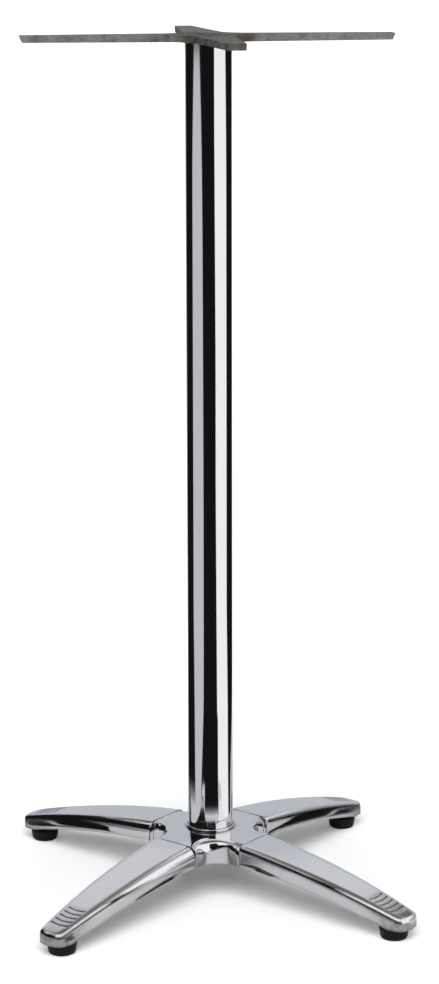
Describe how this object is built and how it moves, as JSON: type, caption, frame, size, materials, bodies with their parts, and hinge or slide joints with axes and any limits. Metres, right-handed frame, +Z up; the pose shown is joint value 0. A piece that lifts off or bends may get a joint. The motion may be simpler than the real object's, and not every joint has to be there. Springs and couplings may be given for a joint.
{
  "type": "four star table base",
  "caption": "Bar-height pedestal table base: polished round column, arched star legs on levelling glides and a cast cross for the table top.",
  "frame": {"origin": "on the floor, on the column's axis", "axes": "+Z up along the column; the legs lie on the diagonals between X and Y, and the top spider's arms lie along X and Y, turned by about 2 degrees"},
  "size_m": [0.4588, 0.4588, 1.08],
  "materials": {
    "chrome": "bright chrome plated steel tube",
    "polished_casting": "polished aluminium casting",
    "rough_casting": "rough grey casting, unpolished",
    "black_plastic": "matte black moulded plastic",
    "steel": "zinc plated steel fasteners"
  },
  "bodies": {
    "base": {"column_tube": "chrome", "hub": "polished_casting", "spider": "rough_casting", "tie_rod": "steel", "top_washer": "steel", "bottom_washer": "steel", "top_nut": "steel", "bottom_nut": "steel", "leg_back_right": "polished_casting", "leg_screw_back_right_left": "steel", "leg_washer_back_right_left": "steel", "leg_screw_back_right_right": "steel", "leg_washer_back_right_right": "steel", "leg_back_left": "polished_casting", "leg_screw_back_left_left": "steel", "leg_washer_back_left_left": "steel", "leg_screw_back_left_right": "steel", "leg_washer_back_left_right": "steel", "leg_front_left": "polished_casting", "leg_screw_front_left_left": "steel", "leg_washer_front_left_left": "steel", "leg_screw_front_left_right": "steel", "leg_washer_front_left_right": "steel", "leg_front_right": "polished_casting", "leg_screw_front_right_left": "steel", "leg_washer_front_right_left": "steel", "leg_screw_front_right_right": "steel", "leg_washer_front_right_right": "steel"},
    "levelling_glide_back_right": {"glide_back_right": "black_plastic", "glide_stud_back_right": "steel"},
    "levelling_glide_back_left": {"glide_back_left": "black_plastic", "glide_stud_back_left": "steel"},
    "levelling_glide_front_left": {"glide_front_left": "black_plastic", "glide_stud_front_left": "steel"},
    "levelling_glide_front_right": {"glide_front_right": "black_plastic", "glide_stud_front_right": "steel"}
  },
  "joints": [
    {"name": "level_back_right", "type": "slide", "parent": "base", "child": "levelling_glide_back_right", "axis": [0, 0, -1], "range_m": [0, 0.006]},
    {"name": "level_back_left", "type": "slide", "parent": "base", "child": "levelling_glide_back_left", "axis": [0, 0, -1], "range_m": [0, 0.006]},
    {"name": "level_front_left", "type": "slide", "parent": "base", "child": "levelling_glide_front_left", "axis": [0, 0, -1], "range_m": [0, 0.006]},
    {"name": "level_front_right", "type": "slide", "parent": "base", "child": "levelling_glide_front_right", "axis": [0, 0, -1], "range_m": [0, 0.006]}
  ]
}
